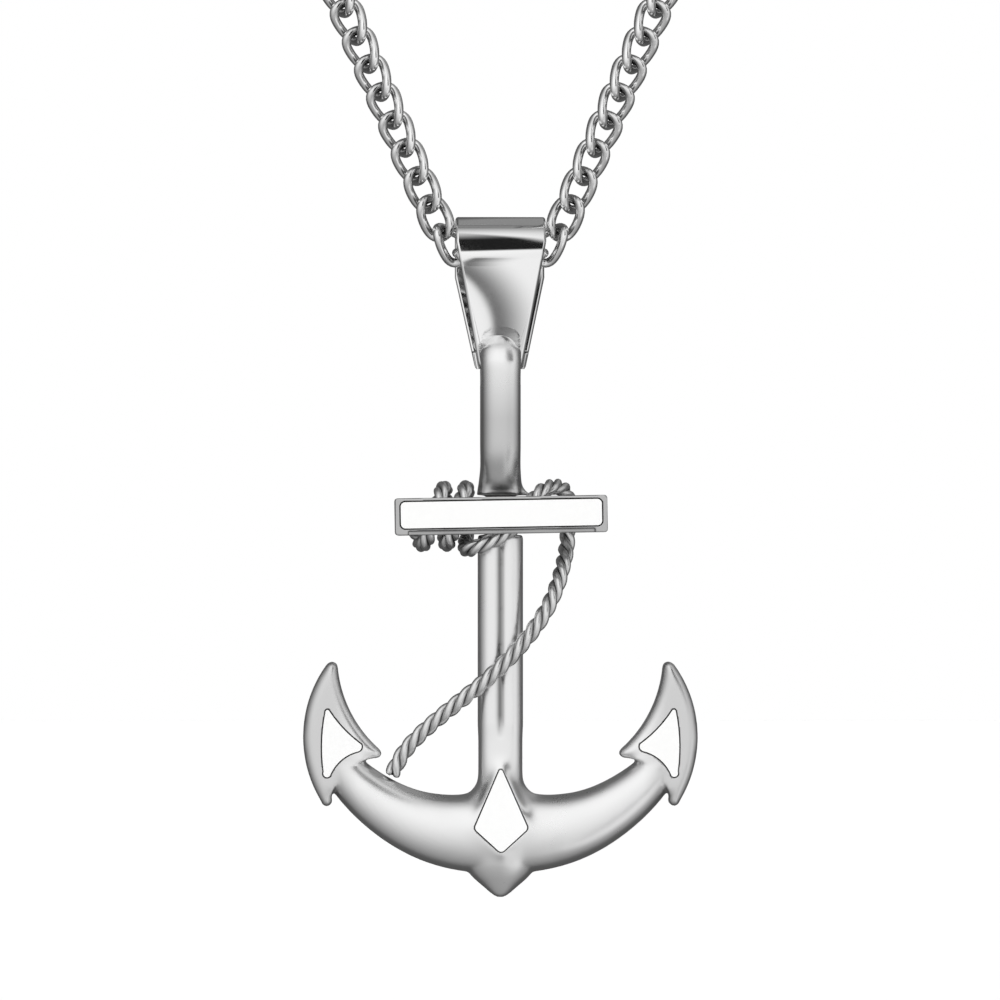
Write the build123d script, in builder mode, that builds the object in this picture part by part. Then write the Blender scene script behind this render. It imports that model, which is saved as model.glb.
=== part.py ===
from build123d import *
from math import asin, cos, pi, radians, sin, sqrt, tan
import os

os.makedirs("parts", exist_ok=True)

# An anchor pendant on a curb chain, as it hangs when worn. Millimetres.
# +Z is up and the pendant faces -Y. The origin is the middle of the nape.

# Chain
wire = 0.72                # the links' wire
pitch = 2.68               # link to link
link_reach = 1.79          # half the length of a link's centreline
link_side = 1.02           # half the width of it
link_twist = 0.80          # how far its corners stand out of flat
link_corner = 0.90         # its corner radius
links_a_side = 99          # links in each strand above the bail's two
strand_lean = 23.4         # of a strand from the upright, degrees
roll_step = 7.0            # the links roll inward by this much each, up to the next
strand_roll = 20.0

# The hidden links in the bail: a round ring, then two links that climb on each side
ring_pitch = 1.94
ring_drop = 1.15           # of the ring below the bail's axis
first_climb = 23.5         # degrees
first_roll = 40.3
second_climb = 48.9
second_roll = 23.5

# How the loop lies: upright on the chest, bent over the shoulders, leaning to the nape
chest = 90.0
shoulder_radius = 80.0
nape_lean = 50.0           # degrees

# Clasp and its two end rings
clasp_length = 10.5
clasp_width = 5.0
clasp_thick = 1.3
clasp_rim = 0.75
clasp_eye = 0.95           # radius of the small hole
end_ring_radius = 1.75

# Bail: a folded strap, rolled at the top and closed by a bar at the foot
bail_width = 7.9
roll_bore = 5.1
bail_wall = 0.7
bar_radius = 0.85
bar_drop = 9.27            # from the roll's axis to the bar's
front_foot = 3.7           # width of the front panel at the foot
back_foot = 4.4            # and of the back panel
front_shoulder = 1.0       # where the front panel starts to taper, above the axis
back_shoulder = -2.0
window_width = 2.9
window_top = 6.7           # below the roll's axis
window_round = 0.8         # its upper corners follow the eye

# Anchor: eye, collar, neck and shank. Drops are below the roll's axis
eye_gap = 0.1              # between the bar and the eye that hangs on it
eye_width = 3.63
eye_depth = 6.4
eye_wall = 1.5
eye_foot = 20.2
eye_edge = 0.65            # its rounded edges
eye_swing = 20.0           # how far the anchor swings in the bail, degrees
window_gap = 0.1           # between the eye and the bail's window
collar_width = 4.1
collar_depth = 3.4
collar_flare = 1.0         # on the right, where no rope passes
neck_width = 2.4
neck_depth = 1.5
shank_width = 4.0
shank_depth = 2.7
shank_round = 1.2
flute_width = 0.4
flute_depth = 0.12

# Stock: a rear bar, end blocks and a front plate that carries the inlay
stock_length = 18.6
stock_height = 3.27
stock_drop = 22.98
stock_tilt = 1.0           # degrees, the right end up
stock_edge = 0.25          # rounded corners
stock_fit = 0.07           # round the neck, and above and below the stock
bar_depth = 2.7
bar_round = 0.9
block_length = 1.1
plate_gap = 1.65           # the slot that the rope passes through
plate_thick = 0.8
strip_height = 0.4         # the lower strip of the plate, set back
strip_depth = 0.3

# Inlays
inlay_thick = 0.33
inlay_bed = 0.03           # under an inlay
inlay_groove = 0.12        # round an inlay
stock_inlay_length = 17.6
stock_inlay_height = 2.3
stock_inlay_rise = 0.14
inlay_round = 0.4          # the corners of the stock's inlay and the kite's
inlay_tip = 0.16           # the upper tips of the kite and the flukes' inlays
kite_width = 4.7
kite_top = 45.1
kite_side = 50.45
kite_foot = 52.6
kite_rim = 0.5             # the flat face of the crown round the kite
kite_front = 2.75          # how far that face stands ahead of the shank's middle
kite_lean = 0.75           # and how far above the kite, where it leaves the shank

# Crown and arms
crown_drop = 51.0          # the arms' middle
crown_point = 56.6
crown_width = 6.4
crown_depth = 5.4
arm_reach = 14.2
arm_rise = 6.6
arm_height = 7.0
arm_depth = 5.4

# Flukes
fluke_in = 10.47           # from the middle to the inner barb
fluke_width = 6.88
fluke_top = 35.87
fluke_height = 12.68
fluke_thick = 3.0

# Rope
rope = 1.36                # across
rope_gap = 0.12

# The loop, laid flat: x to the side and s up along the body
lean = radians(strand_lean)
climb_1, climb_2 = radians(first_climb), radians(second_climb)
strand_x = ring_pitch / 2 + pitch * (cos(climb_1) + cos(climb_2))
strand_s = -ring_drop + pitch * (sin(climb_1) + sin(climb_2))
link_bite = link_reach - pitch / 2
ring_radius = ring_pitch / 2 + link_bite
end_ring_joint = end_ring_radius - link_bite
rim_inside = sqrt((end_ring_radius - wire / 2 - inlay_groove) ** 2 - (clasp_thick / 2) ** 2)
clasp_reach = clasp_length / 2 + end_ring_joint - (clasp_rim - rim_inside)
strand_run = links_a_side * pitch + clasp_reach
nape_radius = (strand_run + strand_x / sin(lean)) / (cos(lean) / sin(lean) + pi / 2 + lean)
straight_run = (nape_radius * cos(lean) - strand_x) / sin(lean)
arc_s = strand_s + straight_run * cos(lean) + nape_radius * sin(lean)
shoulder_turn = radians(nape_lean)
shoulder_run = shoulder_radius * shoulder_turn


def body(s):
    """Depth, height and lean of the surface that the chain lies on, s above the bail."""
    if s <= chest:
        return 0.0, s, 0.0
    if s <= chest + shoulder_run:
        turn = (s - chest) / shoulder_radius
        return shoulder_radius * (1 - cos(turn)), chest + shoulder_radius * sin(turn), turn
    rest = s - chest - shoulder_run
    depth = shoulder_radius * (1 - cos(shoulder_turn)) + rest * sin(shoulder_turn)
    height = chest + shoulder_radius * sin(shoulder_turn) + rest * cos(shoulder_turn)
    return depth, height, shoulder_turn


nape_depth, nape_height, nape_turn = body(arc_s + nape_radius)


def link_plane(x, s, angle, roll=0.0):
    """Where a link lies: angle is its rise from level, roll turns it about its length."""
    depth, height, turn = body(s)
    along = Vector(cos(angle), sin(angle) * sin(turn), sin(angle) * cos(turn))
    out = Vector(0, -cos(turn), sin(turn))
    out = out - along * out.dot(along)
    side = out.cross(along).normalized()
    out = out.normalized() * cos(radians(roll)) + side * sin(radians(roll))
    return Plane((x, depth - nape_depth, height - nape_height), x_dir=along, z_dir=out)


def on_strand(run, roll=0.0):
    """The plane at a length along the strand, past the two links in the bail."""
    if run <= straight_run:
        x, s = strand_x + run * sin(lean), strand_s + run * cos(lean)
        return link_plane(x, s, pi / 2 - lean, roll)
    turn = (run - straight_run) / nape_radius - lean
    return link_plane(nape_radius * cos(turn), arc_s + nape_radius * sin(turn), pi / 2 + turn, roll)


# One curb link: half of a four-cornered path, twisted out of flat, and the half turned round
half_link = [
    (0, -link_side, 0),
    (link_reach, -link_side, link_twist),
    (link_reach, link_side, -link_twist),
    (0, link_side, 0),
]
with BuildPart() as curb_link:
    with BuildLine() as link_path:
        FilletPolyline(*half_link, radius=link_corner)
    with BuildSketch(Plane(link_path.line @ 0, z_dir=link_path.line % 0)):
        Circle(wire / 2)
    sweep()
    add(curb_link.part, rotation=(0, 0, 180))

# Both strands of the chain, one the mirror of the other
first_middle = ring_pitch / 2 + pitch * cos(climb_1) / 2
second_middle = strand_x - pitch * cos(climb_2) / 2
spots = [
    link_plane(first_middle, -ring_drop + pitch * sin(climb_1) / 2, climb_1, first_roll),
    link_plane(second_middle, strand_s - pitch * sin(climb_2) / 2, climb_2, second_roll),
]
for number in range(links_a_side):
    spots.append(on_strand(pitch * (number + 0.5), -min(strand_roll, roll_step * number)))
chain_right = Compound([curb_link.part.solid().moved(spot.location) for spot in spots])
chain_right.label = "chain_right"
export_step(chain_right, "parts/chain_right.step")
chain_left = chain_right.mirror(Plane.YZ)
chain_left.label = "chain_left"
export_step(chain_left, "parts/chain_left.step")

# The ring that joins the strands inside the bail
with BuildPart(Plane((0, -nape_depth, -nape_height - ring_drop))) as centre_ring:
    Torus(ring_radius, wire / 2)
centre_ring.part.label = "centre_ring"
export_step(centre_ring.part, "parts/centre_ring.step")


def end_ring(hand):
    """A round ring on the last link of a strand, standing on edge."""
    run = strand_run - clasp_reach + end_ring_joint
    spot = on_strand(run)
    middle = Vector(spot.origin.X * hand, spot.origin.Y, spot.origin.Z)
    along = Vector(spot.x_dir.X * hand, spot.x_dir.Y, spot.x_dir.Z)
    across = along.cross(spot.z_dir)
    with BuildPart(Plane(middle, x_dir=along, z_dir=across)) as ring:
        Torus(end_ring_radius, wire / 2)
    return ring.part


for name, hand in (("end_ring_right", 1), ("end_ring_left", -1)):
    piece = end_ring(hand)
    piece.label = name
    export_step(piece, f"parts/{name}.step")

# Clasp: one flat piece, a long loop and a small eye, with rounded edges
nape_plane = Plane((0, 0, 0), x_dir=(1, 0, 0), z_dir=(0, -cos(nape_turn), sin(nape_turn)))
eye_outer = clasp_eye + clasp_rim
eye_x = -clasp_length / 2 + eye_outer
loop_outer = clasp_width / 2
loop_x = clasp_length / 2 - loop_outer
loop_start = eye_x + eye_outer + clasp_width / 2 - clasp_rim
with BuildPart() as clasp:
    with BuildSketch(nape_plane.offset(-clasp_thick / 2)):
        with Locations((loop_x, 0), (loop_start, 0)):
            Circle(loop_outer)
        with Locations((eye_x, 0)):
            Circle(eye_outer)
        make_hull()
        with Locations((eye_x, 0)):
            Circle(clasp_eye, mode=Mode.SUBTRACT)
        with Locations(((loop_x + loop_start) / 2, 0)):
            slot_run = loop_x - loop_start
            SlotCenterToCenter(slot_run, clasp_width - 2 * clasp_rim, mode=Mode.SUBTRACT)
    extrude(amount=clasp_thick)
clasp.part.label = "clasp"
export_step(clasp.part, "parts/clasp.step")


def facing(drop=0.0, front=0.0, x=0.0):
    """A plane that faces the viewer, drop below the roll's axis and front ahead of it."""
    middle = (x, -nape_depth - front, -nape_height - drop)
    return Plane(middle, x_dir=(1, 0, 0), z_dir=(0, -1, 0))


def sideways(drop=0.0, x=0.0):
    """A plane across the pendant: its x points to the back, its y up."""
    return Plane((x, -nape_depth, -nape_height - drop), x_dir=(0, 1, 0), z_dir=(1, 0, 0))


# Bail
roll_inner = roll_bore / 2
roll_outer = roll_inner + bail_wall
foot = bar_drop + bar_radius
inner_foot = bar_drop - bar_radius
with BuildPart() as bail:
    with BuildSketch(sideways(x=-bail_width / 2)):
        Circle(roll_outer)
        with Locations((0, -bar_drop)):
            Circle(bar_radius)
        make_hull()
    extrude(amount=bail_width)
    with BuildSketch(sideways(x=-bail_width / 2)):
        Circle(roll_inner)
        with Locations((0, -inner_foot)):
            Circle(bar_radius * 0.2)
        make_hull()
    extrude(amount=bail_width, mode=Mode.SUBTRACT)
    for front, shoulder, foot_width in ((1, front_shoulder, front_foot), (-1, back_shoulder, back_foot)):
        for hand in (1, -1):
            with BuildSketch(facing()):
                with BuildLine():
                    Polyline(
                        (hand * bail_width / 2, shoulder),
                        (hand * foot_width / 2, -foot),
                        (hand * foot_width / 2, -2 * foot),
                        (hand * bail_width, -2 * foot),
                        (hand * bail_width, shoulder),
                        close=True,
                    )
                make_face()
            extrude(amount=front * 2 * roll_outer, mode=Mode.SUBTRACT)
    with BuildSketch(facing(drop=(window_top + bar_drop + window_round) / 2)):
        RectangleRounded(window_width, bar_drop + window_round - window_top, window_round)
    extrude(amount=roll_outer, both=True, mode=Mode.SUBTRACT)
    with BuildSketch(sideways(drop=bar_drop, x=-window_width / 2)):
        Circle(bar_radius)
    extrude(amount=window_width)
bail.part.label = "bail"
export_step(bail.part, "parts/bail.step")

# Anchor: eye, collar, neck, shank, crown, arms and flukes in one casting
eye_outer_radius = eye_depth / 2
eye_inner_radius = eye_outer_radius - eye_wall
eye_top_drop = bar_drop - bar_radius - eye_gap + eye_inner_radius
eye_top = eye_top_drop - eye_outer_radius
eye_foot_drop = eye_foot - eye_wall - eye_inner_radius
eye_pass = window_width / 2 - window_gap
stock_top = stock_drop - stock_height / 2
stock_foot = stock_drop + stock_height / 2
stock_play = stock_fit + shank_width / 2 * tan(radians(stock_tilt))
plate_front = bar_depth / 2 + plate_gap + plate_thick

# The arms' sections from the crown to the fluke, as shares of the arm's sizes
arm_sections = [
    {"out": 0.00, "rise": 0.00, "height": 1.00, "depth": 1.00, "turn": 0},
    {"out": 0.32, "rise": 0.04, "height": 0.93, "depth": 0.97, "turn": 10},
    {"out": 0.56, "rise": 0.18, "height": 0.79, "depth": 0.88, "turn": 21},
    {"out": 0.78, "rise": 0.46, "height": 0.66, "depth": 0.76, "turn": 35},
    {"out": 0.95, "rise": 0.80, "height": 0.54, "depth": 0.64, "turn": 50},
    {"out": 1.02, "rise": 1.02, "height": 0.46, "depth": 0.50, "turn": 58},
]

# The crown's sections, as shares of its width and depth, by their place from crown to point
crown_sections = [
    {"place": -1.15, "width": 0.60, "depth": 0.48},
    {"place": -0.75, "width": 0.72, "depth": 0.66},
    {"place": -0.30, "width": 0.98, "depth": 0.95},
    {"place": 0.25, "width": 1.00, "depth": 0.98},
    {"place": 0.62, "width": 0.86, "depth": 0.66},
    {"place": 0.80, "width": 0.54, "depth": 0.42},
    {"place": 0.93, "width": 0.28, "depth": 0.23},
    {"place": 1.00, "width": 0.08, "depth": 0.08},
]


def fluke_spot(across, down, hand=1):
    """A point of a fluke's outline, as shares of its width and height."""
    return hand * (fluke_in + across * fluke_width), -fluke_top - down * fluke_height


def fluke_outline(hand):
    """The fluke: a long tip, an inner barb over the arm and an outer barb below it."""
    ThreePointArc(*[fluke_spot(*at, hand) for at in ((0.56, 0.02), (0.41, 0.33), (0.02, 0.61))])
    ThreePointArc(*[fluke_spot(*at, hand) for at in ((0.02, 0.61), (0.0, 0.64), (0.04, 0.665))])
    ThreePointArc(*[fluke_spot(*at, hand) for at in ((0.04, 0.665), (0.44, 0.75), (0.64, 0.94))])
    ThreePointArc(*[fluke_spot(*at, hand) for at in ((0.64, 0.94), (0.69, 1.0), (0.77, 0.965))])
    ThreePointArc(*[fluke_spot(*at, hand) for at in ((0.77, 0.965), (1.0, 0.5), (0.70, 0.02))])
    ThreePointArc(*[fluke_spot(*at, hand) for at in ((0.70, 0.02), (0.63, 0.0), (0.56, 0.02))])


def fluke_inlay_outline(hand):
    """The fluke's inlay, on the inner side of the fluke."""
    ThreePointArc(*[fluke_spot(*at, hand) for at in ((0.70, 0.31), (0.50, 0.455), (0.26, 0.57))])
    ThreePointArc(*[fluke_spot(*at, hand) for at in ((0.26, 0.57), (0.26, 0.60), (0.30, 0.618))])
    ThreePointArc(*[fluke_spot(*at, hand) for at in ((0.30, 0.618), (0.51, 0.675), (0.66, 0.788))])
    ThreePointArc(*[fluke_spot(*at, hand) for at in ((0.66, 0.788), (0.71, 0.795), (0.737, 0.76))])
    ThreePointArc(*[fluke_spot(*at, hand) for at in ((0.737, 0.76), (0.757, 0.55), (0.70, 0.31))])


def kite_block(grow, back, ahead):
    """The crown's kite between two depths from its front face, which curves out as it falls."""
    half = kite_width / 2 + grow
    start = (-kite_lean, -kite_top + 4 * kite_rim)
    middle = (-kite_front, -kite_side)
    end = (-kite_front + kite_rim / 4, -kite_foot - 4 * kite_rim)
    with BuildPart() as block:
        with BuildSketch(facing(front=-crown_depth)) as kite:
            with BuildLine():
                Polyline(
                    (0, -kite_top + 2 * grow),
                    (half, -kite_side),
                    (0, -kite_foot - grow),
                    (-half, -kite_side),
                    close=True,
                )
            make_face()
            fillet(kite.vertices().sort_by(Axis.Y)[:-1], inlay_round)
            fillet(kite.vertices().sort_by(Axis.Y)[-1], inlay_tip)
        extrude(amount=2 * crown_depth)
        with BuildSketch(sideways(x=-half)):
            with BuildLine():
                ThreePointArc(*[(y - ahead, z) for y, z in (start, middle, end)])
                Polyline(
                    (end[0] - ahead, end[1]),
                    (end[0] - back, end[1]),
                )
                ThreePointArc(*[(y - back, z) for y, z in (end, middle, start)])
                Line((start[0] - back, start[1]), (start[0] - ahead, start[1]))
            make_face()
        extrude(amount=2 * half, mode=Mode.INTERSECT)
    return block.part


swing = radians(eye_swing)
side_slope = (roll_outer - bar_radius) / bar_drop
wedge_turn = asin(side_slope) + swing
wedge_foot = (bar_radius + window_gap) / cos(wedge_turn)
with BuildPart() as anchor:
    with BuildSketch(sideways(x=-eye_width / 2)):
        with Locations((0, -eye_top_drop), (0, -eye_foot_drop)):
            Circle(eye_outer_radius)
        with Locations((0, -eye_foot)):
            Rectangle(collar_depth, 2 * eye_edge)
        make_hull()
        with Locations((0, -(eye_top_drop + eye_foot_drop) / 2)):
            slot = eye_foot_drop - eye_top_drop
            SlotCenterToCenter(slot, 2 * eye_inner_radius, rotation=90, mode=Mode.SUBTRACT)
    extrude(amount=eye_width)
    fillet(anchor.edges().filter_by(Plane.YZ), eye_edge)
    # The eye's round top, and its narrow part inside the bail's window
    for hand in (1, -1):
        with BuildSketch(facing(front=-eye_depth)):
            with BuildLine():
                ThreePointArc(
                    (0, -eye_top),
                    (hand * eye_pass * 0.8, -eye_top - eye_edge * 0.6),
                    (hand * eye_pass, -eye_top - eye_pass / 2),
                )
                ThreePointArc(
                    (hand * eye_pass, -eye_top - eye_pass / 2),
                    (hand * eye_width * 0.46, -eye_top - eye_pass),
                    (hand * eye_width / 2, -eye_top - 2 * eye_pass),
                )
                Polyline(
                    (hand * eye_width / 2, -eye_top - 2 * eye_pass),
                    (hand * eye_width, -eye_top - 2 * eye_pass),
                    (hand * eye_width, -eye_top + eye_edge),
                    (0, -eye_top + eye_edge),
                    (0, -eye_top),
                )
            make_face()
        extrude(amount=2 * eye_depth, mode=Mode.SUBTRACT)
        with BuildSketch(sideways(drop=bar_drop, x=hand * (eye_pass + eye_width) / 2)):
            with BuildLine():
                Polyline(
                    (wedge_foot, 0),
                    (wedge_foot + eye_depth * tan(wedge_turn), eye_depth),
                    (-wedge_foot - eye_depth * tan(wedge_turn), eye_depth),
                    (-wedge_foot, 0),
                    close=True,
                )
            make_face()
        extrude(amount=(eye_width - eye_pass) / 2, both=True, mode=Mode.SUBTRACT)
        # The round top again at both ends of the swing, so that it clears the window
        for tilt in (swing, -swing):
            pivot = facing(drop=bar_drop).origin
            with BuildSketch(Plane(pivot, x_dir=(1, 0, 0), z_dir=(0, -cos(tilt), sin(tilt)))):
                with BuildLine():
                    ThreePointArc(
                        (0, bar_drop - eye_top),
                        (hand * eye_pass * 0.8, bar_drop - eye_top - eye_edge * 0.6),
                        (hand * eye_pass, bar_drop - eye_top - eye_pass / 2),
                    )
                    Polyline(
                        (hand * eye_pass, bar_drop - eye_top - eye_pass / 2),
                        (hand * eye_width, bar_drop - eye_top - eye_pass / 2),
                        (hand * eye_width, bar_drop - eye_top + eye_edge),
                        (0, bar_drop - eye_top + eye_edge),
                        (0, bar_drop - eye_top),
                    )
                make_face()
            extrude(amount=eye_depth, both=True, mode=Mode.SUBTRACT)
    # Collar, neck and shank
    with BuildSketch(facing(front=-collar_depth / 2)):
        with BuildLine():
            Polyline(
                (-collar_width / 2, -stock_top + stock_play),
                (-eye_width / 2, -eye_foot + eye_wall / 2),
                (eye_width / 2, -eye_foot + eye_wall / 2),
            )
            ThreePointArc(
                (eye_width / 2, -eye_foot + eye_wall / 2),
                (eye_width / 2 + collar_flare * 0.3, -(eye_foot + stock_top - stock_play) / 2),
                (eye_width / 2 + collar_flare, -stock_top + stock_play),
            )
            Line(
                (eye_width / 2 + collar_flare, -stock_top + stock_play),
                (-collar_width / 2, -stock_top + stock_play),
            )
        make_face()
    extrude(amount=collar_depth * 0.85)
    with BuildSketch(Plane((0, -nape_depth, -nape_height - stock_top + stock_play))):
        RectangleRounded(eye_width, collar_depth, eye_edge)
    extrude(amount=stock_top - stock_play - eye_foot)
    with BuildSketch(Plane((0, -nape_depth, -nape_height - stock_foot - stock_play))):
        RectangleRounded(neck_width, neck_depth, neck_depth / 4)
    extrude(amount=stock_height + 3 * stock_play)
    with BuildSketch(Plane((0, -nape_depth, -nape_height - stock_foot - stock_play))):
        RectangleRounded(shank_width, shank_depth, shank_round)
    extrude(amount=-(crown_drop - stock_foot))
    # Crown, through ellipses down to its point
    for section in crown_sections:
        drop = crown_drop + section["place"] * (crown_point - crown_drop)
        with BuildSketch(Plane((0, -nape_depth, -nape_height - drop))):
            Ellipse(crown_width / 2 * section["width"], crown_depth / 2 * section["depth"])
    loft()
    # Arms
    for hand in (1, -1):
        for section in arm_sections:
            middle = facing(
                drop=crown_drop - section["rise"] * arm_rise, x=hand * section["out"] * arm_reach
            ).origin
            turn = radians(section["turn"])
            along = (hand * cos(turn), 0, sin(turn))
            with BuildSketch(Plane(middle, x_dir=(0, 1, 0), z_dir=along)):
                Ellipse(arm_depth / 2 * section["depth"], arm_height / 2 * section["height"])
        loft()
    # Flukes
    for hand in (1, -1):
        with BuildSketch(facing(front=-fluke_thick / 2)):
            with BuildLine():
                fluke_outline(hand)
            make_face()
        extrude(amount=fluke_thick)
    # A flat face round the kite, then the beds of the inlays and the shank's flute
    add(kite_block(kite_rim, -crown_depth / 4, 0.0))
    add(kite_block(inlay_groove, -inlay_thick - inlay_bed, crown_depth), mode=Mode.SUBTRACT)
    for hand in (1, -1):
        with BuildSketch(facing(front=fluke_thick / 2)) as bed:
            with BuildLine():
                fluke_inlay_outline(hand)
            make_face()
            fillet(bed.vertices().sort_by(Axis.Y)[-1], inlay_tip)
            offset(amount=inlay_groove)
        extrude(amount=-inlay_thick - inlay_bed, mode=Mode.SUBTRACT)
    with BuildSketch(Plane((0, -nape_depth - shank_depth / 2, -nape_height - stock_foot))):
        Ellipse(flute_width / 2, flute_depth)
    extrude(amount=-(kite_top - stock_foot - kite_rim), mode=Mode.SUBTRACT)
anchor.part.label = "anchor"
export_step(anchor.part, "parts/anchor.step")

# Inlays of the crown and the flukes
crown_inlay = kite_block(0.0, -inlay_thick, 0.0)
crown_inlay.label = "crown_inlay"
export_step(crown_inlay, "parts/crown_inlay.step")
for name, hand in (("fluke_inlay_right", 1), ("fluke_inlay_left", -1)):
    with BuildPart() as fluke_inlay:
        with BuildSketch(facing(front=fluke_thick / 2)) as panel:
            with BuildLine():
                fluke_inlay_outline(hand)
            make_face()
            fillet(panel.vertices().sort_by(Axis.Y)[-1], inlay_tip)
        extrude(amount=-inlay_thick)
    fluke_inlay.part.label = name
    export_step(fluke_inlay.part, f"parts/{name}.step")


def stock_face(front=0.0):
    """A plane that faces the viewer, level with the tilted stock and centred on it."""
    tilt = radians(stock_tilt)
    middle = facing(drop=stock_drop, front=front).origin
    return Plane(middle, x_dir=(cos(tilt), 0, sin(tilt)), z_dir=(0, -1, 0))


# Stock
block_middle = (stock_length - block_length) / 2
with BuildPart() as stock:
    end = stock_face()
    with BuildSketch(Plane(end.origin, x_dir=(0, 1, 0), z_dir=end.x_dir)):
        RectangleRounded(bar_depth, stock_height, bar_round)
    extrude(amount=stock_length / 2 - block_length / 2, both=True)
    with BuildSketch(stock_face(plate_front)):
        RectangleRounded(stock_length, stock_height, stock_edge)
    extrude(amount=-plate_thick)
    with BuildSketch(stock_face(plate_front)):
        with Locations((block_middle, 0), (-block_middle, 0)):
            RectangleRounded(block_length, stock_height, stock_edge)
    extrude(amount=-plate_front - bar_depth / 2)
    with BuildSketch(stock_face(plate_front)):
        with Locations((0, stock_inlay_rise)):
            bed_length = stock_inlay_length + 2 * inlay_groove
            bed_height = stock_inlay_height + 2 * inlay_groove
            RectangleRounded(bed_length, bed_height, inlay_round + inlay_groove)
    extrude(amount=-inlay_thick - inlay_bed, mode=Mode.SUBTRACT)
    with BuildSketch(stock_face(plate_front)):
        with Locations((0, (strip_height - stock_height) / 2)):
            Rectangle(stock_length - 2 * block_length, strip_height)
    extrude(amount=-strip_depth, mode=Mode.SUBTRACT)
    with BuildSketch(Plane((0, -nape_depth, -nape_height - stock_drop))):
        Rectangle(neck_width + 2 * stock_fit, neck_depth + 2 * stock_fit)
    extrude(amount=stock_height, both=True, mode=Mode.SUBTRACT)
stock.part.label = "stock"
export_step(stock.part, "parts/stock.step")

with BuildPart() as stock_inlay:
    with BuildSketch(stock_face(plate_front)):
        with Locations((0, stock_inlay_rise)):
            RectangleRounded(stock_inlay_length, stock_inlay_height, inlay_round)
    extrude(amount=-inlay_thick)
stock_inlay.part.label = "stock_inlay"
export_step(stock_inlay.part, "parts/stock_inlay.step")

# Rope: two turns round the stock's bar, across the shank, a third turn, then down to the arm.
# Its points are to the side, to the back and up, from the stock's middle.
out = bar_depth / 2 + rope_gap + rope / 2
up = stock_height / 2 + rope_gap + rope / 2
rope_bend = bar_round + rope_gap + rope / 2
rope_turns = [
    (-7.6, out, 0.0),
    (-7.2, out, -up),
    (-6.5, -out, -up),
    (-5.2, -out, up),
    (-4.75, out, up),
    (-4.9, out, -up),
    (-4.55, -out, -up),
    (-3.2, -out, up),
    (-2.85, out, up),
    (-3.0, out, -up),
    (-3.1, -out, -3.2),
    (1.2, -out, -1.45),
    (3.4, -out, up),
    (6.2, out, up),
    (6.0, out, -up),
]
rope_fall = [
    (5.6, 0.2, -4.3),
    (4.9, -1.1, -6.6),
    (3.7, -2.0, -9.0),
    (1.6, -2.3, -11.7),
    (-1.2, -2.3, -14.4),
    (-4.2, -1.6, -16.7),
    (-7.0, -0.7, -19.0),
    (-8.9, -0.2, -21.1),
    (-9.55, 0.0, -22.75),
]


def rope_point(x, back, rise):
    """A point of the rope in the part's frame, turned with the stock beside it."""
    height = rise - stock_drop + x * tan(radians(stock_tilt))
    return Vector(x, back - nape_depth, height - nape_height)


def bend_radii(points):
    """The radius at each corner of the route: the bar's turns are round its own corners."""
    radii = []
    for before, at, after in zip(points, points[1:], points[2:]):
        run_in, run_out = at - before, after - at
        half_turn = radians(run_in.get_angle(run_out)) / 2
        largest = rope_bend if len(radii) < len(rope_turns) - 2 else 30 * rope
        radii.append(min(largest, 0.45 * min(run_in.length, run_out.length) / tan(half_turn)))
    return radii


rope_points = [rope_point(*point) for point in rope_turns + rope_fall]
rope_radii = bend_radii(rope_points)
print("rope radii", [round(radius, 2) for radius in rope_radii])
with BuildPart() as rope_piece:
    with BuildLine() as rope_path:
        FilletPolyline(*rope_points, radius=rope_radii)
    with BuildSketch(Plane(rope_path.line @ 0, z_dir=rope_path.line % 0)):
        Circle(rope / 2)
    sweep()
rope_length = sum(edge.length for edge in rope_path.line.edges())
print("rope length", round(rope_length, 1), "volume", round(rope_piece.part.volume, 2))
print("its section times its length", round(pi * rope**2 / 4 * rope_length, 2))
rope_piece.part.label = "rope"
export_step(rope_piece.part, "parts/rope.step")
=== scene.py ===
import math
import bpy
import bmesh
import numpy as np
from mathutils import Matrix, Vector
from mathutils.bvhtree import BVHTree
from mathutils.kdtree import KDTree


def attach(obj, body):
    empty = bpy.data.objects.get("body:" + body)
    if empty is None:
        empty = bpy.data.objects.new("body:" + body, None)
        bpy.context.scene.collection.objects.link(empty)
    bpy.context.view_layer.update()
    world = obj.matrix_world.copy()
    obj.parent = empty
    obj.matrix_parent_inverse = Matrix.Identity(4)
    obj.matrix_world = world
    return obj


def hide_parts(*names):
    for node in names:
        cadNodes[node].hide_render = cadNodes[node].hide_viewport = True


# Anchor pendant on a curb chain. Shapes are made in millimetres and scaled to metres at the end.
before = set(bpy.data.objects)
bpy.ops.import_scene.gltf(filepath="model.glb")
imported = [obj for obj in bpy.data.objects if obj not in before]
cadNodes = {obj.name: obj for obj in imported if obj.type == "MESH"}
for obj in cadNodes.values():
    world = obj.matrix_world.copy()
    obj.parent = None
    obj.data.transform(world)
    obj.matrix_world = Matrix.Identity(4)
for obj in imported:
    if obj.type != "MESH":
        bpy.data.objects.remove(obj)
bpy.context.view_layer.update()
millimetre = 0.001
toMetres = Matrix.Scale(millimetre, 4)
toMillimetres = Matrix.Scale(1000, 4)
weldGap = 0.0002  # CAD points nearer than this are one, in millimetres
print("frame loaded:", len(cadNodes), "nodes")

# Where the bail's roll hangs, in millimetres: depth and height of its axis
rollY = -77.655
rollZ = -192.465

# Camera: the photo is taken from straight ahead, a touch from the left
shot = {
    "distance": 620.0,
    "azimuth": -1.5,
    "frameWidth": 88.0,
    "aim": (-0.03, rollY, -214.11),
    "sensor": 36,
    "near": 0.01,
    "far": 20,
}


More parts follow.
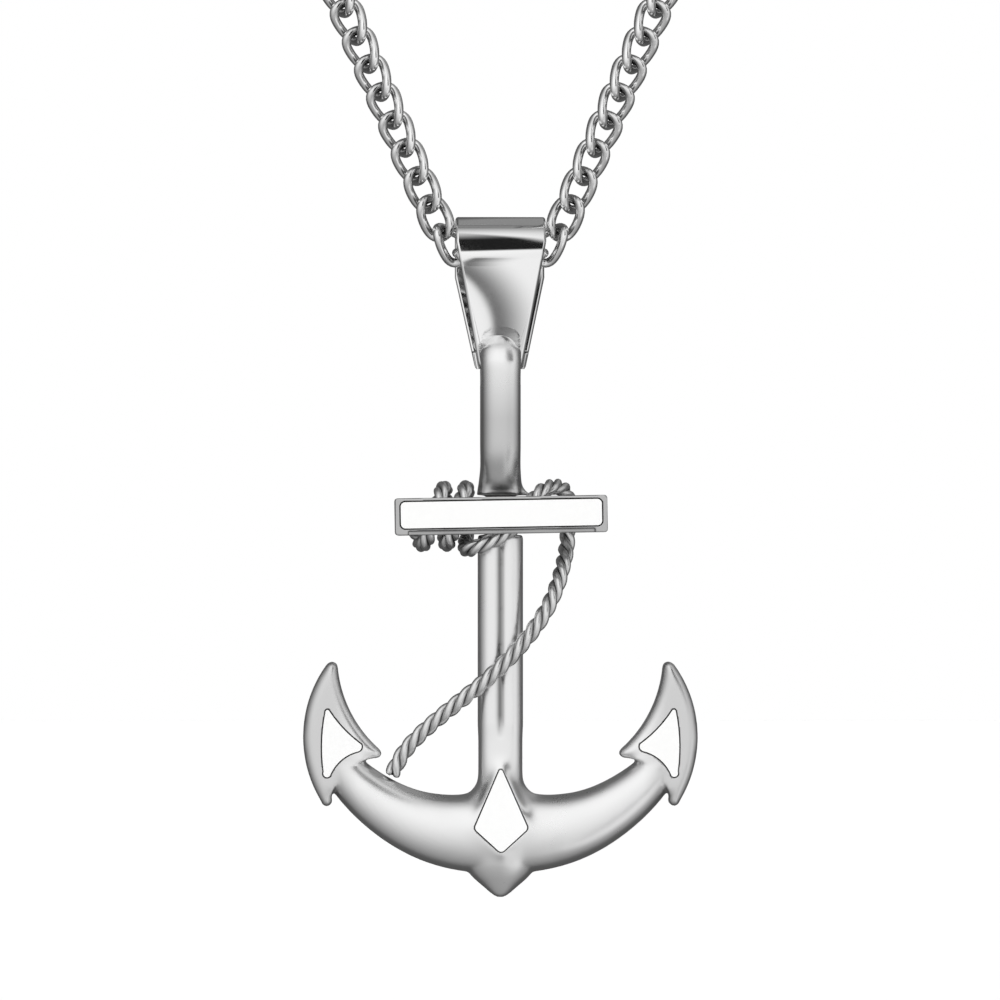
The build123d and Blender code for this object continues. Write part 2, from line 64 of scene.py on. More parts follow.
def makeCamera():
    turn = math.radians(shot["azimuth"])
    aim = Vector(shot["aim"])
    away = Vector((math.sin(turn), -math.cos(turn), 0))
    lens = bpy.data.cameras.new("shotCamera")
    lens.sensor_width = shot["sensor"]
    lens.angle = 2 * math.atan(shot["frameWidth"] / 2 / shot["distance"])
    lens.clip_start = shot["near"]
    lens.clip_end = shot["far"]
    camera = bpy.data.objects.new("shotCamera", lens)
    camera.location = (aim + away * shot["distance"]) * millimetre
    camera.rotation_euler = away.to_track_quat("Z", "Y").to_euler()
    bpy.context.scene.collection.objects.link(camera)
    bpy.context.scene.camera = camera


makeCamera()
bpy.context.scene.view_settings.view_transform = "Standard"
print("camera placed")


# Mesh helpers

def emptyMesh(name, points, faces):
    mesh = bpy.data.meshes.new(name)
    mesh.from_pydata([tuple(p) for p in points], [], faces)
    mesh.update()
    return mesh


def nodeMesh(node):
    # a welded copy of a CAD node's mesh, in millimetres
    mesh = cadNodes[node].data.copy()
    mesh.transform(toMillimetres)
    work = bmesh.new()
    work.from_mesh(mesh)
    bmesh.ops.remove_doubles(work, verts=work.verts, dist=weldGap)
    work.to_mesh(mesh)
    work.free()
    if "sharp_face" in mesh.attributes:
        mesh.attributes.remove(mesh.attributes["sharp_face"])
    mesh.materials.clear()
    return mesh


def withModifiers(mesh, steps, groups=None):
    # runs modifiers on a mesh and gives back the mesh that comes out
    workpiece = bpy.data.objects.new("workpiece", mesh)
    bpy.context.scene.collection.objects.link(workpiece)
    for groupName, weights in (groups or {}).items():
        group = workpiece.vertex_groups.new(name=groupName)
        for index, weight in enumerate(weights):
            group.add([index], float(weight), "REPLACE")
    for kind, values in steps:
        modifier = workpiece.modifiers.new(kind.lower(), kind)
        for key, value in values.items():
            setattr(modifier, key, value)
    depsgraph = bpy.context.evaluated_depsgraph_get()
    done = bpy.data.meshes.new_from_object(workpiece.evaluated_get(depsgraph))
    bpy.data.objects.remove(workpiece)
    return done


def joined(meshes):
    # several meshes as one
    work = bmesh.new()
    for mesh in meshes:
        work.from_mesh(mesh)
    whole = bpy.data.meshes.new("whole")
    work.to_mesh(whole)
    work.free()
    return whole


def places(mesh):
    values = np.empty(len(mesh.vertices) * 3)
    mesh.vertices.foreach_get("co", values)
    return values.reshape(-1, 3)


def triangleCorners(mesh):
    # three points a face: the CAD nodes' meshes hold triangles alone
    corners = np.empty(len(mesh.polygons) * 3, dtype=np.int64)
    mesh.polygons.foreach_get("vertices", corners)
    return corners.reshape(-1, 3)


def setPlaces(mesh, values):
    mesh.vertices.foreach_set("co", values.reshape(-1))
    mesh.update()


def setShade(mesh, values):
    # the painted shade: how light the metal is at each point, from 0 to 1
    shade = mesh.attributes.new("shade", "FLOAT", "POINT")
    shade.data.foreach_set("value", np.ascontiguousarray(values, dtype=np.float32))


def finishPiece(name, mesh, body, material, nodes, sharpAngle=40):
    # scales a mesh to metres and puts it in the scene in place of its CAD nodes
    mesh.transform(toMetres)
    mesh.name = name
    mesh.polygons.foreach_set("use_smooth", [True] * len(mesh.polygons))
    if sharpAngle:
        mesh.set_sharp_from_angle(angle=math.radians(sharpAngle))
    mesh.materials.clear()
    mesh.materials.append(material)
    piece = bpy.data.objects.new(name, mesh)
    bpy.context.scene.collection.objects.link(piece)
    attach(piece, body)
    if nodes:
        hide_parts(*nodes)
    triangles = sum(len(p.vertices) - 2 for p in mesh.polygons)
    print("made", name, triangles, "triangles")


def dressNodes(names, material):
    # gives its material to each CAD node that stays as it is
    for name in names:
        materials = cadNodes[name].data.materials
        materials.clear()
        materials.append(material)


def ringFaces(rings, around, closed):
    faces = []
    for ring in range(rings if closed else rings - 1):
        nextRing = (ring + 1) % rings
        for step in range(around):
            nextStep = (step + 1) % around
            faces.append((
                ring * around + step,
                ring * around + nextStep,
                nextRing * around + nextStep,
                nextRing * around + step,
            ))
    return faces


def tangentsOf(path, closed):
    if closed:
        run = np.roll(path, -1, axis=0) - np.roll(path, 1, axis=0)
    else:
        run = np.gradient(path, axis=0)
    return run / np.linalg.norm(run, axis=1)[:, None]


def carriedFrames(path):
    # normals and sides along an open path, which turn as little as they can
    tangents = tangentsOf(path, False)
    notAlong = (0.3, 0.2, 0.9)  # a direction that no path starts in
    normal = np.cross(tangents[0], notAlong)
    normals = []
    for tangent in tangents:
        normal = normal - tangent * normal.dot(tangent)
        normal = normal / np.linalg.norm(normal)
        normals.append(normal)
    normals = np.array(normals)
    return normals, np.cross(tangents, normals)


def tubePoints(path, normals, sides, radii, around):
    angles = np.arange(around) * 2 * math.pi / around
    ring = (
        np.cos(angles)[None, :, None] * normals[:, None, :]
        + np.sin(angles)[None, :, None] * sides[:, None, :]
    )
    return (path[:, None, :] + ring * np.asarray(radii)[:, None, None]).reshape(-1, 3)


# Materials

def newMaterial(name):
    material = bpy.data.materials.new(name)
    material.use_nodes = True
    nodes = material.node_tree.nodes
    shader = next(node for node in nodes if node.type == "BSDF_PRINCIPLED")
    return material, nodes, material.node_tree.links, shader


def mathMaker(nodes, links):
    # gives back a function that adds one math node and returns its output
    def calc(operation, *values):
        node = nodes.new("ShaderNodeMath")
        node.operation = operation
        for socket, value in zip(node.inputs, values):
            if isinstance(value, (int, float)):
                socket.default_value = value
            else:
                links.new(value, socket)
        return node.outputs[0]

    return calc


# Polish marks: scales are per metre, and the bump's distance is in metres
marksLook = {
    "driftScale": 320,
    "driftDetail": 3,
    "driftShare": 0.65,
    "fineScale": 6500,
    "fineDetail": 4,
    "fineRoughness": 0.6,
    "fineShare": 0.35,
    "lowest": 0.3,
    "highest": 0.7,
    "middle": 0.5,
    "bumpDistance": 0.00002,
}


def makePolishMarks():
    # the fine marks that polishing leaves: a roughness that drifts, a tone and a slight unevenness
    group = bpy.data.node_groups.new("polishMarks", "ShaderNodeTree")
    inputs = {
        "Grain": 1.0, "Smooth": 0.1, "Rough": 0.2, "Depth": 0.1, "Tone": 0.7, "Tone Spread": 0.08,
    }
    for socketName, value in inputs.items():
        socket = group.interface.new_socket(socketName, in_out="INPUT", socket_type="NodeSocketFloat")
        socket.default_value = value
    group.interface.new_socket("Color", in_out="OUTPUT", socket_type="NodeSocketColor")
    group.interface.new_socket("Roughness", in_out="OUTPUT", socket_type="NodeSocketFloat")
    group.interface.new_socket("Normal", in_out="OUTPUT", socket_type="NodeSocketVector")
    nodes, links = group.nodes, group.links
    entry = nodes.new("NodeGroupInput")
    exitNode = nodes.new("NodeGroupOutput")
    where = nodes.new("ShaderNodeTexCoord")
    stretch = nodes.new("ShaderNodeVectorMath")
    stretch.operation = "SCALE"
    links.new(where.outputs["Object"], stretch.inputs[0])
    links.new(entry.outputs["Grain"], stretch.inputs["Scale"])
    cloud = nodes.new("ShaderNodeTexNoise")  # slow drift, about 3 mm
    cloud.inputs["Scale"].default_value = marksLook["driftScale"]
    cloud.inputs["Detail"].default_value = marksLook["driftDetail"]
    links.new(stretch.outputs[0], cloud.inputs["Vector"])
    marks = nodes.new("ShaderNodeTexNoise")  # fine marks, about 0.15 mm
    marks.inputs["Scale"].default_value = marksLook["fineScale"]
    marks.inputs["Detail"].default_value = marksLook["fineDetail"]
    marks.inputs["Roughness"].default_value = marksLook["fineRoughness"]
    links.new(stretch.outputs[0], marks.inputs["Vector"])
    blend = nodes.new("ShaderNodeMath")
    blend.operation = "MULTIPLY_ADD"
    blend.inputs[1].default_value = marksLook["fineShare"]
    links.new(marks.outputs["Fac"], blend.inputs[0])
    soft = nodes.new("ShaderNodeMath")
    soft.operation = "MULTIPLY"
    soft.inputs[1].default_value = marksLook["driftShare"]
    links.new(cloud.outputs["Fac"], soft.inputs[0])
    links.new(soft.outputs[0], blend.inputs[2])
    rough = nodes.new("ShaderNodeMapRange")
    rough.inputs["From Min"].default_value = marksLook["lowest"]
    rough.inputs["From Max"].default_value = marksLook["highest"]
    links.new(blend.outputs[0], rough.inputs["Value"])
    links.new(entry.outputs["Smooth"], rough.inputs["To Min"])
    links.new(entry.outputs["Rough"], rough.inputs["To Max"])
    links.new(rough.outputs[0], exitNode.inputs["Roughness"])
    spread = nodes.new("ShaderNodeMath")
    spread.operation = "SUBTRACT"
    spread.inputs[1].default_value = marksLook["middle"]
    links.new(blend.outputs[0], spread.inputs[0])
    tone = nodes.new("ShaderNodeMath")
    tone.operation = "MULTIPLY_ADD"
    links.new(spread.outputs[0], tone.inputs[0])
    links.new(entry.outputs["Tone Spread"], tone.inputs[1])
    links.new(entry.outputs["Tone"], tone.inputs[2])
    grey = nodes.new("ShaderNodeCombineColor")
    for channel in ("Red", "Green", "Blue"):
        links.new(tone.outputs[0], grey.inputs[channel])
    links.new(grey.outputs[0], exitNode.inputs["Color"])
    bump = nodes.new("ShaderNodeBump")
    bump.inputs["Distance"].default_value = marksLook["bumpDistance"]
    links.new(entry.outputs["Depth"], bump.inputs["Strength"])
    links.new(blend.outputs[0], bump.inputs["Height"])
    links.new(bump.outputs[0], exitNode.inputs["Normal"])
    return group


polishMarks = makePolishMarks()

# What each steel looks like: tone and its spread, roughness where the polish is smoothest and
# roughest, the depth of its marks and their scale
steelLooks = {
    "chainSteel": {
        "tone": 0.90, "toneSpread": 0.05, "smooth": 0.11, "rough": 0.17, "depth": 0.03, "grain": 1.0,
    },
    "bailSteel": {
        "tone": 0.86, "toneSpread": 0.03, "smooth": 0.05, "rough": 0.09, "depth": 0.01, "grain": 0.7,
    },
    "anchorSteel": {
        "tone": 0.84, "toneSpread": 0.05, "smooth": 0.26, "rough": 0.33, "depth": 0.02, "grain": 0.8,
    },
    "stockSteel": {
        "tone": 0.48, "toneSpread": 0.05, "smooth": 0.20, "rough": 0.28, "depth": 0.03, "grain": 0.9,
    },
    "ropeSteel": {
        "tone": 0.74, "toneSpread": 0.08, "smooth": 0.24, "rough": 0.34, "depth": 0.06, "grain": 1.3,
    },
    "claspSteel": {
        "tone": 0.70, "toneSpread": 0.05, "smooth": 0.13, "rough": 0.22, "depth": 0.03, "grain": 0.9,
    },
}
# These carry a painted shade at each point, which darkens their tone
shadedSteels = ("chainSteel", "ropeSteel", "anchorSteel")
# The strap's panels are flat in its mesh. This bump only turns what the polish mirrors, over the
# whole strap. It tilts the normals by 10 to 20 degrees to one side, which is more than a real sheet
# would lean, with a swell and a twist. Heights and places are in metres.
strapLook = {
    "foot": -0.199165,
    "reach": 0.0055,
    "swell": -10.5,
    "lean": -0.215,
    "twist": -1990.0,
}


def strapNormal(nodes, links, under):
    calc = mathMaker(nodes, links)
    where = nodes.new("ShaderNodeTexCoord")
    split = nodes.new("ShaderNodeSeparateXYZ")
    links.new(where.outputs["Object"], split.inputs[0])
    aside, height = split.outputs["X"], split.outputs["Z"]
    up = calc("MINIMUM", calc("SUBTRACT", height, strapLook["foot"]), strapLook["reach"])
    slope = calc("MULTIPLY_ADD", calc("MULTIPLY", up, up), strapLook["twist"], strapLook["lean"])
    slope = calc("ADD", slope, calc("MULTIPLY", aside, strapLook["swell"]))
    bump = nodes.new("ShaderNodeBump")
    bump.inputs["Strength"].default_value = 1.0
    bump.inputs["Distance"].default_value = 1.0
    links.new(calc("MULTIPLY", aside, slope), bump.inputs["Height"])
    links.new(under, bump.inputs["Normal"])
    return bump.outputs[0]


def makeSteel(name):
    look = steelLooks[name]
    material, nodes, links, shader = newMaterial(name)
    shader.inputs["Metallic"].default_value = 1.0
    marks = nodes.new("ShaderNodeGroup")
    marks.node_tree = polishMarks
    for socketName, key in (
        ("Grain", "grain"), ("Smooth", "smooth"), ("Rough", "rough"),
        ("Depth", "depth"), ("Tone", "tone"), ("Tone Spread", "toneSpread"),
    ):
        marks.inputs[socketName].default_value = look[key]
    color = marks.outputs["Color"]
    if name in shadedSteels:
        # the painted shade darkens the base colour point by point
        shade = nodes.new("ShaderNodeAttribute")
        shade.attribute_name = "shade"
        darker = nodes.new("ShaderNodeVectorMath")
        darker.operation = "SCALE"
        links.new(color, darker.inputs[0])
        links.new(shade.outputs["Fac"], darker.inputs["Scale"])
        color = darker.outputs[0]
    links.new(color, shader.inputs["Base Color"])
    links.new(marks.outputs["Roughness"], shader.inputs["Roughness"])
    normal = marks.outputs["Normal"]
    if name == "bailSteel":
        normal = strapNormal(nodes, links, normal)
    links.new(normal, shader.inputs["Normal"])
    return material


# White enamel: even and satin, with a faint orange-peel surface
enamelLook = {
    "color": (0.93, 0.93, 0.925),
    "peelTone": 0.985,
    "roughness": 0.28,
    "coat": 0.3,
    "coatRoughness": 0.12,
    "peelScale": 2600,
    "peelDetail": 2,
    "peelDepth": 0.06,
    "peelDistance": 0.00002,
}


def makeEnamel():
    material, nodes, links, shader = newMaterial("whiteEnamel")
    shader.inputs["Roughness"].default_value = enamelLook["roughness"]
    shader.inputs["Coat Weight"].default_value = enamelLook["coat"]
    shader.inputs["Coat Roughness"].default_value = enamelLook["coatRoughness"]
    where = nodes.new("ShaderNodeTexCoord")
    peel = nodes.new("ShaderNodeTexNoise")
    peel.inputs["Scale"].default_value = enamelLook["peelScale"]
    peel.inputs["Detail"].default_value = enamelLook["peelDetail"]
    links.new(where.outputs["Object"], peel.inputs["Vector"])
    shade = nodes.new("ShaderNodeMix")
    shade.data_type = "RGBA"
    shade.inputs["A"].default_value = (*enamelLook["color"], 1)
    shade.inputs["B"].default_value = (*[enamelLook["peelTone"] * c for c in enamelLook["color"]], 1)
    links.new(peel.outputs["Fac"], shade.inputs["Factor"])
    links.new(shade.outputs["Result"], shader.inputs["Base Color"])
    bump = nodes.new("ShaderNodeBump")
    bump.inputs["Strength"].default_value = enamelLook["peelDepth"]
    bump.inputs["Distance"].default_value = enamelLook["peelDistance"]
    links.new(peel.outputs["Fac"], bump.inputs["Height"])
    links.new(bump.outputs[0], shader.inputs["Normal"])
    return material


steels = {name: makeSteel(name) for name in steelLooks}
enamel = makeEnamel()
print("materials made")

# Chain: smooth twisted links in the places of the CAD links, in millimetres
chainLook = {
    "halfLength": 1.80,
    "halfWidth": 1.12,
    "twist": 0.70,
    "squareness": 0.90,
    "wireRadius": 0.41,
    "along": 40,
    "around": 12,
    # hollowShade, innerShare and the two end-shade entries set the painted shade where the links sit
    # in each other
    "hollowShade": 0.35,
    "innerShare": 0.5,
    "endShadeStart": 0.5,
    "endShadeFade": 0.9,
    "sharpAngle": 80,
}


def linkShape(hand):
    turns = np.arange(chainLook["along"]) * 2 * math.pi / chainLook["along"]
    power = chainLook["squareness"]
    across = np.sign(np.cos(turns)) * np.abs(np.cos(turns)) ** power
    aside = np.sign(np.sin(turns)) * np.abs(np.sin(turns)) ** power
    path = np.stack([
        chainLook["halfLength"] * across,
        chainLook["halfWidth"] * aside,
        -hand * chainLook["twist"] * np.sin(2 * turns),
    ], axis=1)
    tangents = tangentsOf(path, True)
    sides = np.cross(tangents, (0, 0, 1))
    sides = sides / np.linalg.norm(sides, axis=1)[:, None]
    normals = np.cross(sides, tangents)
    radii = np.full(len(path), chainLook["wireRadius"])
    points = tubePoints(path, normals, sides, radii, chainLook["around"])
    # painted shade where the next link sits: the inner side of both ends
    wireMiddle = np.repeat(np.linalg.norm(path[:, :2], axis=1), chainLook["around"])
    outward = np.linalg.norm(points[:, :2], axis=1) - wireMiddle
    inner = np.clip(chainLook["innerShare"] - outward / chainLook["wireRadius"], 0, 1)
    atEnd = np.clip((np.abs(points[:, 0]) - chainLook["endShadeStart"]) / chainLook["endShadeFade"], 0, 1)
    shades = 1 - (1 - chainLook["hollowShade"]) * inner * atEnd
    return points, ringFaces(chainLook["along"], chainLook["around"], True), shades


def looseParts(mesh):
    # a number for each vertex that says which loose part it belongs to
    edges = np.empty(len(mesh.edges) * 2, dtype=np.int64)
    mesh.edges.foreach_get("vertices", edges)
    a, b = edges.reshape(-1, 2).T
    labels = np.arange(len(mesh.vertices))
    while True:
        low = np.minimum(labels[a], labels[b])
        after = labels.copy()
        np.minimum.at(after, a, low)
        np.minimum.at(after, b, low)
        after = after[after]
        if np.array_equal(after, labels):
            return labels
        labels = after


def linkSpots(node):
    # the middle and the three axes of every link, longest first, from the CAD node's surface
    mesh = nodeMesh(node)
    points = places(mesh)
    corners = triangleCorners(mesh)
    a, b, c = (points[corners[:, i]] for i in range(3))
    middles = points[corners].mean(axis=1)
    areas = np.linalg.norm(np.cross(b - a, c - a), axis=1)
    owner = looseParts(mesh)[corners[:, 0]]
    spots = []
    for part in np.unique(owner):
        mine = owner == part
        weights = areas[mine] / areas[mine].sum()
        middle = (middles[mine] * weights[:, None]).sum(axis=0)
        offset = middles[mine] - middle
        _, axes = np.linalg.eigh((offset * weights[:, None]).T @ offset)
        along, aside = axes[:, 2], axes[:, 1]
        spots.append((middle, np.stack([along, aside, np.cross(along, aside)])))
    bpy.data.meshes.remove(mesh)
    return spots


def makeChain(node, hand):
    points, faces, shades = linkShape(hand)
    allPoints, allFaces = [], []
    for middle, axes in linkSpots(node):
        start = len(allPoints) * len(points)
        allPoints.append(middle + points @ axes)
        allFaces += [tuple(start + corner for corner in face) for face in faces]
    mesh = emptyMesh(node, np.concatenate(allPoints), allFaces)
    setShade(mesh, np.tile(shades, len(allPoints)))
    finishPiece(
        node + "_links", mesh, "necklace", steels["chainSteel"], [node],
        chainLook["sharpAngle"],
    )


makeChain("chain_right", 1)
makeChain("chain_left", -1)
dressNodes(("centre_ring", "end_ring_left", "end_ring_right"), steels["claspSteel"])
print("chain made")


# Bevelled copies of the sheet-metal pieces
bevelLooks = {
    "bail": {"width": 0.24, "segments": 5},
    "clasp": {"width": 0.28, "segments": 4},
}
# For both: faces nearer to flat than the first angle become one, and edges sharper than the second
# are bevelled
bevelWork = {
    "flatAngle": 0.6,
    "edgeAngle": 32,
    "weldGap": 0.02,
    "normalWeight": 100,
}


def bevelledCopy(node):
    look = bevelLooks[node]
    return withModifiers(nodeMesh(node), [
        ("DECIMATE", {
            "decimate_type": "DISSOLVE", "angle_limit": math.radians(bevelWork["flatAngle"]),
        }),
        ("BEVEL", {
            "width": look["width"], "segments": look["segments"], "limit_method": "ANGLE",
            "angle_limit": math.radians(bevelWork["edgeAngle"]), "use_clamp_overlap": False,
            "miter_outer": "MITER_ARC",
        }),
        ("WELD", {"merge_threshold": bevelWork["weldGap"]}),
        ("TRIANGULATE", {"ngon_method": "BEAUTY"}),
        ("WEIGHTED_NORMAL", {"weight": bevelWork["normalWeight"], "keep_sharp": False}),
    ])


bailStrap = bevelledCopy("bail")
finishPiece("bail_strap", bailStrap, "bail", steels["bailSteel"], ["bail"], None)
claspBody = bevelledCopy("clasp")
finishPiece(
    "clasp_body", claspBody, "necklace", steels["claspSteel"], ["clasp"], None,
)
print("bail and clasp made")

# Castings: smoothed where their forms meet, then the enamel's beds are cut in. Drops are measured
# down from the roll's axis, in millimetres.
smoothFactor = 0.5
castLooks = {
    "anchor": {
        "voxel": 0.136,
        "rounds": 16,
        "softRounds": 110,
        "inlays": ("crown_inlay", "fluke_inlay_left", "fluke_inlay_right"),
    },
    "stock": {
        "voxel": 0.09,
        "rounds": 5,
        "softRounds": 0,
        "inlays": ("stock_inlay",),
    },
}
# The flukes' faces fall away to their edges. The outline is the CAD outline's arcs, as shares of
# the fluke's width and height.
flukeLook = {
    "inside": 10.47,
    "width": 6.88,
    "top": 35.87,
    "height": 12.68,
    "half": 1.5,
    "band": 0.95,
    "fall": 0.7,
    "sideMargin": 0.2,
    "dropMargin": 0.3,
    "armClear": 0.6,
    "arcPoints": 90,
    "armPoints": 120,
}
flukeArcs = [
    ((0.56, 0.02), (0.41, 0.33), (0.02, 0.61)),
    ((0.02, 0.61), (0.0, 0.64), (0.04, 0.665)),
    ((0.04, 0.665), (0.44, 0.75), (0.64, 0.94)),
    ((0.64, 0.94), (0.69, 1.0), (0.77, 0.965)),
    ((0.77, 0.965), (1.0, 0.5), (0.70, 0.02)),
    ((0.70, 0.02), (0.63, 0.0), (0.56, 0.02)),
]
# The arm's line from the crown outward: to the side, drop below the roll and half its height
armLine = np.array([
    (0.0, 51.0, 3.5),
    (4.54, 50.74, 3.26),
    (7.95, 49.81, 2.77),
    (11.08, 47.96, 2.31),
    (13.49, 45.72, 1.89),
    (14.48, 44.27, 1.61),
])
# Where the casting is worked softer: middle drop, half drop, half width and how much
softLooks = [
    {"drop": 15.0, "reachDrop": 5.6, "reachSide": 4.0, "weight": 0.8},
    {"drop": 47.6, "reachDrop": 6.2, "reachSide": 5.5, "weight": 1.0},
]
softFade = 1.2
# The eye's front and back are round across, like thick wire. Above clearDrop its surface stays at
# least the inset inside the CAD surface.
eyeLook = {
    "start": 6.6,
    "end": 21.0,
    "halfWidth": 1.8,
    "fall": 0.55,
    "fade": 0.8,
    "faceDepth": 0.8,
    "faceStart": 0.5,
    "clearDrop": 11.5,
    "inset": 0.02,
}
# The groove down the shank's front, which the smoothing takes away, and the painted shade down it
fluteLook = {
    "halfWidth": 0.26,
    "depth": 0.14,
    "start": 25.2,
    "end": 42.6,
    "fade": 0.5,
    "footFade": 1.5,
    "shadeFootFade": 2.0,
    "face": 0.6,
    "aside": 0.05,
    "shade": 0.22,
}
# Painted shade on the eye's lower half, from start down, and on the flukes, from start outward
paintedShadeLooks = {
    "eye": {"shade": 0.68, "start": 9.5, "fade": 5.0, "end": 23},
    "fluke": {"shade": 0.78, "start": 12.5, "fade": 2.0},
}
# The enamel's beds: groove is the gap round an inlay, and overFill closes its hole before smoothing
bedLook = {
    "groove": 0.12,
    "under": 0.03,
    "cutInFront": 0.6,
    "overFill": 0.16,
    "fillBehind": 0.12,
    "sideTurn": 0.3,
}


def grownInlay(node, grow, back, front):
    # an inlay's solid made wider by grow, and longer behind and in front of it
    mesh = nodeMesh(node)
    points = places(mesh)
    normals = np.empty(len(mesh.vertices) * 3)
    mesh.vertices.foreach_get("normal", normals)
    normals = normals.reshape(-1, 3)
    flat = normals * (1, 0, 1)
    length = np.linalg.norm(flat, axis=1)
    edge = length > bedLook["sideTurn"]
    points[edge] += flat[edge] / length[edge][:, None] * grow
    points[:, 1] += np.where(normals[:, 1] < 0, -front, back)
    setPlaces(mesh, points)
    return mesh


def arcThrough(a, b, c, count):
    # points along the circle's arc from a through b to c
    a, b, c = (np.array(p, dtype=float) for p in (a, b, c))
    ab, ac = b - a, c - a
    cross = 2 * (ab[0] * ac[1] - ab[1] * ac[0])
    middle = a + np.array([
        ac[1] * ab.dot(ab) - ab[1] * ac.dot(ac),
        ab[0] * ac.dot(ac) - ac[0] * ab.dot(ab),
    ]) / cross
    start, via, end = (math.atan2(*(p - middle)[::-1]) for p in (a, b, c))
    turn = (end - start) % (2 * math.pi)
    if (via - start) % (2 * math.pi) > turn:
        turn -= 2 * math.pi
    angles = start + np.linspace(0, turn, count)
    return middle + np.linalg.norm(a - middle) * np.stack([np.cos(angles), np.sin(angles)], axis=1)


def flukeOutline():
    size = np.array([flukeLook["width"], flukeLook["height"]])
    corner = np.array([flukeLook["inside"], flukeLook["top"]])
    return np.concatenate([
        arcThrough(*[corner + size * share for share in arc], flukeLook["arcPoints"])
        for arc in flukeArcs
    ])


def pillowFlukes(points):
    # lets the plates' faces fall to their edges, and leaves the arms as they are
    look = flukeLook
    aside, drop, front = np.abs(points[:, 0]), rollZ - points[:, 2], points[:, 1] - rollY
    near = (
        (aside > look["inside"] - look["sideMargin"])
        & (drop > look["top"] - look["dropMargin"])
        & (drop < look["top"] + look["height"] + look["dropMargin"])
    )
    mine = np.flatnonzero(near & (np.abs(front) < look["half"] + look["sideMargin"]))
    outlinePoints = flukeOutline()
    outline = KDTree(len(outlinePoints))
    for index, (x, z) in enumerate(outlinePoints):
        outline.insert((x, z, 0), index)
    outline.balance()
    knots = np.arange(len(armLine))
    runs = np.linspace(0, len(armLine) - 1, look["armPoints"])
    arm = np.stack([np.interp(runs, knots, armLine[:, i]) for i in range(3)], axis=1)
    for index in mine:
        spot = np.array([aside[index], drop[index]])
        fromEdge = outline.find((*spot, 0))[2]
        share = max(0.0, 1 - fromEdge / look["band"])
        fromArm = (np.linalg.norm(arm[:, :2] - spot, axis=1) - arm[:, 2]).min()
        clear = min(1.0, max(0.0, fromArm / look["armClear"]))
        push = look["fall"] * (1 - math.sqrt(1 - share * share)) * clear
        points[index, 1] = rollY + front[index] * (1 - push / look["half"])


def roundEye(points):
    # lets the eye's faces fall to its sides
    look = eyeLook
    drop, front = rollZ - points[:, 2], points[:, 1] - rollY
    along = np.clip(np.minimum(drop - look["start"], look["end"] - drop) / look["fade"], 0, 1)
    across = np.clip(np.abs(points[:, 0]) / look["halfWidth"], 0, 1) ** 2
    onFace = np.clip(np.abs(front) / look["faceDepth"] - look["faceStart"], 0, 1)
    points[:, 1] -= np.sign(front) * look["fall"] * across * along * onFace


def keepEyeClear(points, node):
    # holds the eye's top inside its CAD surface. The rendered eye and strap still meet a little at
    # the edges of the strap's windows.
    cad = nodeMesh(node)
    surface = BVHTree.FromPolygons(places(cad).tolist(), triangleCorners(cad).tolist())
    bpy.data.meshes.remove(cad)
    for index in np.flatnonzero(rollZ - points[:, 2] < eyeLook["clearDrop"]):
        spot, normal, _, _ = surface.find_nearest(points[index].tolist())
        spot, normal = np.array(spot), np.array(normal)
        if np.dot(points[index] - spot, normal) > -eyeLook["inset"]:
            points[index] = spot - normal * eyeLook["inset"]


def fluteRun(drop, footFade):
    # 1 along the groove, falling to 0 at its top and, over footFade, at its foot
    look = fluteLook
    fromTop = (drop - look["start"]) / look["fade"]
    fromFoot = (look["end"] - drop) / footFade
    return np.clip(np.minimum(fromTop, fromFoot), 0, 1)


def cutFlute(points):
    look = fluteLook
    drop, front = rollZ - points[:, 2], points[:, 1] - rollY
    along = fluteRun(drop, look["footFade"])
    across = np.exp(-(points[:, 0] / look["halfWidth"]) ** 2)
    points[:, 1] += np.where(front < -look["face"], look["depth"] * across * along, 0)


def shadeCasting(mesh):
    # painted shade down the groove, and a lighter painted shade on the eye's lower half and the flukes
    look, eye, fluke = fluteLook, paintedShadeLooks["eye"], paintedShadeLooks["fluke"]
    points = places(mesh)
    aside, drop, front = points[:, 0], rollZ - points[:, 2], points[:, 1] - rollY
    along = fluteRun(drop, look["shadeFootFade"])
    across = np.exp(-((aside + look["aside"]) / look["halfWidth"]) ** 2)
    onEye = np.clip((drop - eye["start"]) / eye["fade"], 0, 1) * (drop < eye["end"])
    onFluke = np.clip((np.abs(aside) - fluke["start"]) / fluke["fade"], 0, 1)
    # painted shade down the groove's valley
    groove = across * along * (front < -look["face"])
    shades = 1 - (1 - look["shade"]) * groove
    shades *= 1 - (1 - eye["shade"]) * onEye
    shades *= 1 - (1 - fluke["shade"]) * onFluke
    setShade(mesh, shades)


def softness(points):
    # how much each point is worked softer, from 0 to 1
    weights = np.zeros(len(points))
    for look in softLooks:
        byDrop = (look["reachDrop"] - np.abs(rollZ - points[:, 2] - look["drop"])) / softFade
        bySide = (look["reachSide"] - np.abs(points[:, 0])) / softFade
        weights = np.maximum(weights, look["weight"] * np.clip(np.minimum(byDrop, bySide), 0, 1))
    return weights


